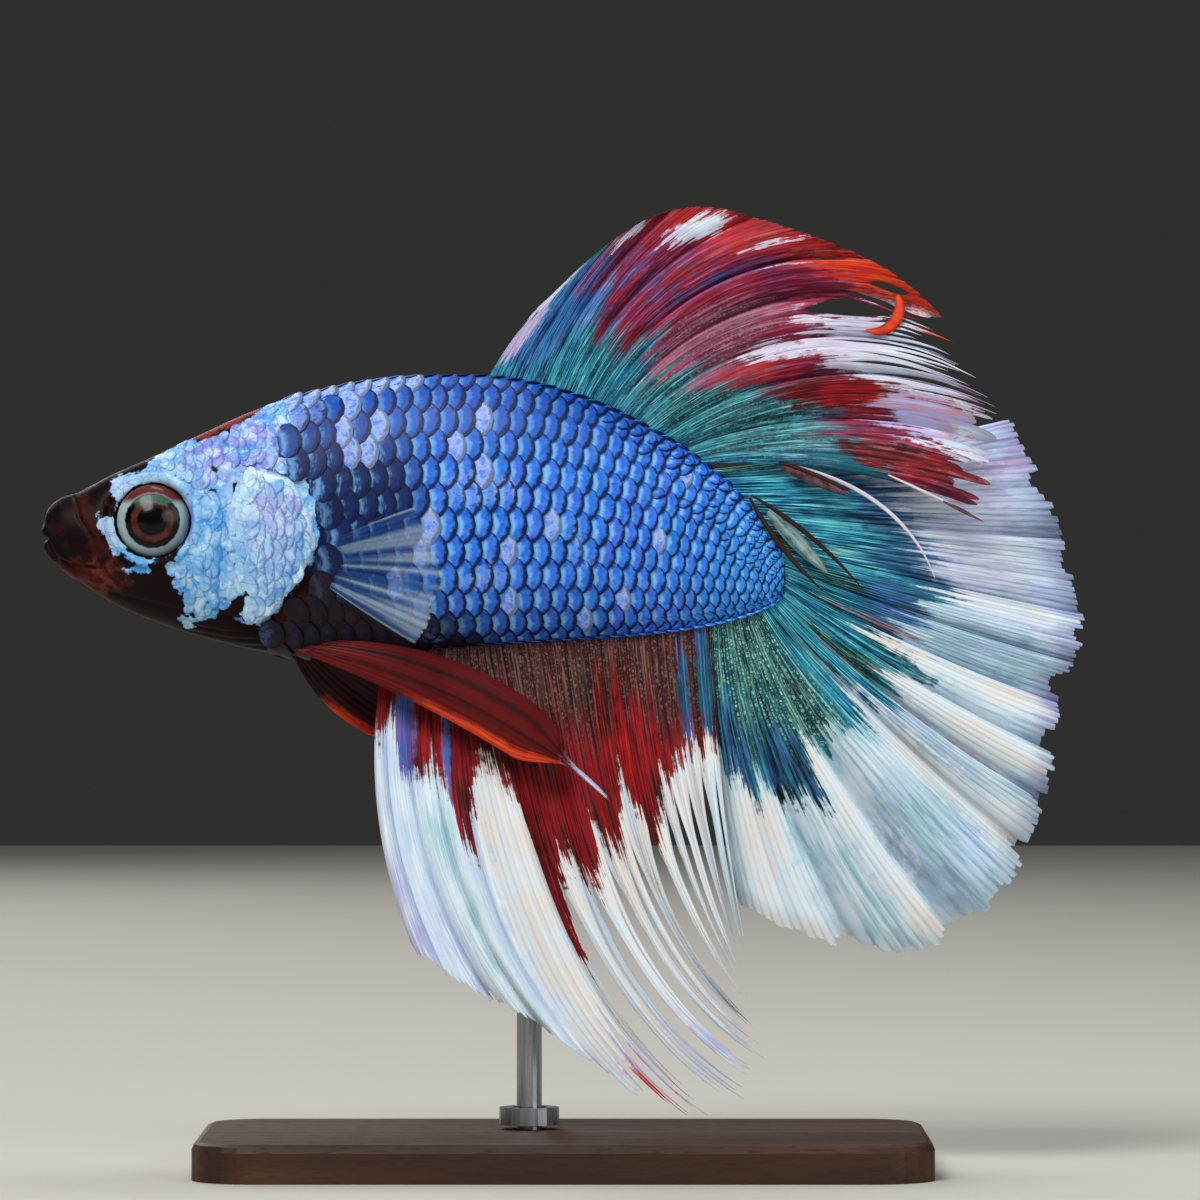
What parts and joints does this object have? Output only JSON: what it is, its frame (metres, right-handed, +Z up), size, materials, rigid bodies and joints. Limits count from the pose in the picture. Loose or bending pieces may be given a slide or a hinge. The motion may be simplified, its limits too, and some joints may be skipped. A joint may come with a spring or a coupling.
{
  "type": "betta fish",
  "caption": "Male halfmoon betta in a swimming pose, with a scaled body and long pleated fins with frayed edges, held over a flat base by a slim rod.",
  "frame": {"origin": "middle of the stand base's underside", "axes": "+Z up from the base, -X towards the fish's snout, -Y towards the fish's left side"},
  "size_m": [0.0657, 0.026, 0.0607],
  "materials": {
    "scaled_skin": "glossy scales, royal blue with pale patches",
    "gill_plate": "smooth bony plates under thin pale blue skin",
    "eyeball": "wet gloss, brown and silver iris round a black pupil",
    "blue_fin": "satin membrane on fine rays, teal, red and white",
    "red_fin": "satin membrane on fine rays, dark red and white",
    "stand_wood": "dark stained walnut, satin",
    "stand_steel": "fine brushed"
  },
  "bodies": {
    "root": {"head": "scaled_skin", "lower_jaw": "scaled_skin", "gill_cover_left": "gill_plate", "gill_cover_right": "gill_plate", "eye_left": "eyeball", "eye_right": "eyeball", "trunk": "scaled_skin", "tail_stalk": "scaled_skin", "dorsal_fin": "blue_fin", "caudal_fin": "blue_fin", "anal_fin": "red_fin", "pelvic_fin_left": "red_fin", "pelvic_fin_right": "red_fin", "pectoral_fin_left": "red_fin", "pectoral_fin_right": "red_fin", "stand_base": "stand_wood", "stand_rod": "stand_steel", "stand_collar": "stand_steel"}
  },
  "joints": []
}
